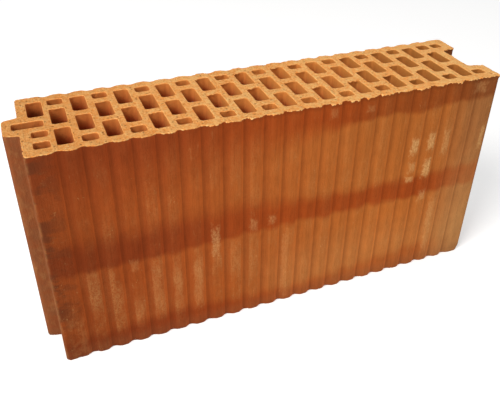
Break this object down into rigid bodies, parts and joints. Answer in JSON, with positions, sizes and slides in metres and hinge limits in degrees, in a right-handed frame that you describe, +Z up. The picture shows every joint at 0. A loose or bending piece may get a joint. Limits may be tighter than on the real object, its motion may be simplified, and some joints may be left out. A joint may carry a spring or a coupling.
{
  "type": "perforated clay block",
  "caption": "Fired clay partition block with staggered upright perforations, wavy ribbed long faces, a tongue on one end and a matching groove in the other.",
  "frame": {"origin": "middle of the bounding box on the bottom bed face, tongue included", "axes": "+X along the length from the tongue end to the groove end, +Y through the wall thickness, +Z up along the perforations"},
  "size_m": [0.512, 0.115, 0.249],
  "materials": {
    "fired_clay": "matt fired clay, grainy and paler on the cut bed faces, red-brown and dusty on the ribbed faces"
  },
  "bodies": {
    "root": {"clay_block": "fired_clay"}
  },
  "joints": []
}
